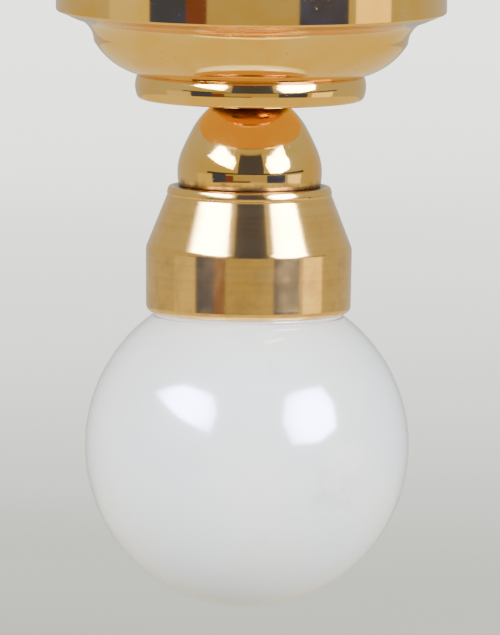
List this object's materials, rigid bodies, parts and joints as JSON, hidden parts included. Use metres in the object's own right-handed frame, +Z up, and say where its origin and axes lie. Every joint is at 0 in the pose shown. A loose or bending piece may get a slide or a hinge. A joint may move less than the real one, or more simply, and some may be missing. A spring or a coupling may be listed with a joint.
{
  "type": "dolls' house ceiling light",
  "caption": "Miniature brass ceiling light: a turned rose, a bell cap and a flared cup hold an opal globe over a plug-in bulb.",
  "frame": {"origin": "middle of the ceiling face, on the foam pad's upper side", "axes": "+Z up into the ceiling along the light's axis of symmetry; the bulb's two pins lie along X"},
  "size_m": [0.0182, 0.0182, 0.0293],
  "materials": {
    "rose_brass": "turned and polished brass",
    "bell_brass": "turned and polished brass",
    "cup_brass": "satin turned brass with fine tool lines",
    "hardware_brass": "plain machined brass",
    "tinned_brass": "tinned brass",
    "white_foam": "white closed-cell foam tape",
    "black_phenolic": "moulded phenolic",
    "white_nylon": "moulded nylon",
    "clear_glass": "clear tube glass",
    "bead_glass": "pressed glass bead",
    "nickel_wire": "drawn nickel wire",
    "tungsten": "coiled tungsten wire",
    "opal_glass": "glossy opal white, opaque"
  },
  "bodies": {
    "canopy": {"ceiling_rose": "rose_brass", "foam_pad": "white_foam", "threaded_stem": "hardware_brass", "rose_washer": "hardware_brass", "rose_nut": "hardware_brass", "bell_cap": "bell_brass", "gallery_cup": "cup_brass", "cup_washer": "hardware_brass", "cup_nut": "hardware_brass", "socket_shell": "hardware_brass", "socket_insulator": "black_phenolic", "contact_left": "tinned_brass", "contact_right": "tinned_brass"},
    "bulb": {"bulb_base": "white_nylon", "bulb_glass": "clear_glass", "bulb_pin_left": "tinned_brass", "bulb_pin_right": "tinned_brass", "filament_support_left": "nickel_wire", "filament_support_right": "nickel_wire", "bulb_bead": "bead_glass", "filament": "tungsten"},
    "globe": {"globe": "opal_glass"}
  },
  "joints": [
    {"name": "globe_pull", "type": "slide", "parent": "canopy", "child": "globe", "axis": [0, 0, -1], "range_m": [0, 0.012]},
    {"name": "bulb_pull", "type": "slide", "parent": "canopy", "child": "bulb", "axis": [0, 0, -1], "range_m": [0, 0.005]}
  ]
}
